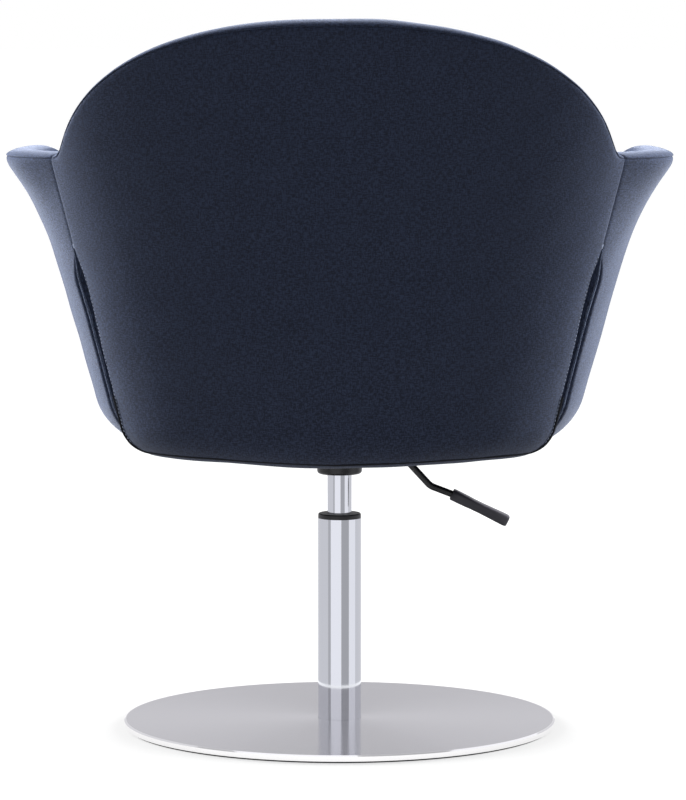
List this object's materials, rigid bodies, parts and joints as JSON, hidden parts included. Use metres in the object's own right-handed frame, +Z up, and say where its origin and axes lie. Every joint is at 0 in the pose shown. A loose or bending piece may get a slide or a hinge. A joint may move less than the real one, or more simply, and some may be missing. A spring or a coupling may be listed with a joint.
{
  "type": "pedestal swivel armchair",
  "caption": "Upholstered bucket armchair with flared arms on a gas-lift column and a round flat disc base; seat swivels, rises and has a height lever.",
  "frame": {"origin": "on the floor, on the swivel axis, at the centre of the underside of the base pad", "axes": "+Z up, +Y towards the back of the chair, sitter faces -Y, the height lever is on the -X side"},
  "size_m": [0.7668, 0.61, 0.8213],
  "materials": {
    "brushed_disc": "stainless steel, circular brushed, polished edge",
    "bright_chrome": "polished chrome plate",
    "turned_steel": "plain turned and zinc-plated steel",
    "base_iron": "painted iron plate",
    "black_enamel": "black powder coat, semi-gloss",
    "black_moulding": "black moulded plastic, fine grain",
    "black_rubber": "black rubber, matt",
    "navy_cloth": "navy heather upholstery cloth over foam",
    "piping_cloth": "navy cloth-covered cord",
    "pale_foam": "cut polyurethane foam",
    "plywood": "birch plywood, raw"
  },
  "bodies": {
    "base": {"base_pad": "black_rubber", "base_weight": "base_iron", "base_cover": "brushed_disc", "foot_screws": "turned_steel", "column_tube": "bright_chrome", "column_end_plug": "turned_steel", "guide_bush": "black_moulding", "column_collar": "black_moulding"},
    "gas_rod": {"rod_clip": "turned_steel", "thrust_washer_lower": "turned_steel", "thrust_washer_upper": "turned_steel", "thrust_balls": "turned_steel", "ball_cage": "black_moulding", "piston_rod": "turned_steel", "bump_stop": "black_rubber", "piston": "turned_steel"},
    "lever": {"lever_rod": "black_enamel", "lever_grip": "black_moulding"},
    "valve": {"valve_pin": "turned_steel"},
    "seat": {"gas_cylinder": "bright_chrome", "cylinder_gland": "black_moulding", "valve_body": "turned_steel", "mechanism_hub": "black_enamel", "mechanism_plate": "black_enamel", "mechanism_housing": "black_enamel", "pivot_pin": "turned_steel", "mechanism_bolts": "turned_steel", "bolt_washers": "turned_steel", "board_nuts": "turned_steel", "seat_frame_ring": "turned_steel", "back_frame_hoop": "turned_steel", "ring_clamps": "turned_steel", "seat_foam": "pale_foam", "seat_board": "plywood", "back_shell": "navy_cloth", "arm_shell_right": "navy_cloth", "arm_shell_left": "navy_cloth", "front_lip_shell": "navy_cloth", "outer_back_panel": "navy_cloth", "underside_panel": "navy_cloth", "seat_cushion": "navy_cloth", "piping_right": "piping_cloth", "piping_left": "piping_cloth"}
  },
  "joints": [
    {"name": "swivel", "type": "hinge", "parent": "base", "child": "gas_rod", "pos_m": [0, 0, 0.026], "axis": [0, 0, 1], "continuous": true},
    {"name": "height", "type": "slide", "parent": "gas_rod", "child": "seat", "axis": [0, 0, 1], "range_m": [-0.025, 0.075]},
    {"name": "lever_lift", "type": "hinge", "parent": "seat", "child": "lever", "pos_m": [-0.022, 0, 0.3613], "axis": [0, 1, 0], "range_deg": [0, 8], "stiffness_Nm_per_rad": 1.5},
    {"name": "valve_press", "type": "slide", "parent": "seat", "child": "valve", "axis": [0, 0, -1], "range_m": [0, 0.0032]}
  ],
  "couplings": [
    {"joint": "valve_press", "follows": "lever_lift", "m_per_rad": 0.022}
  ]
}
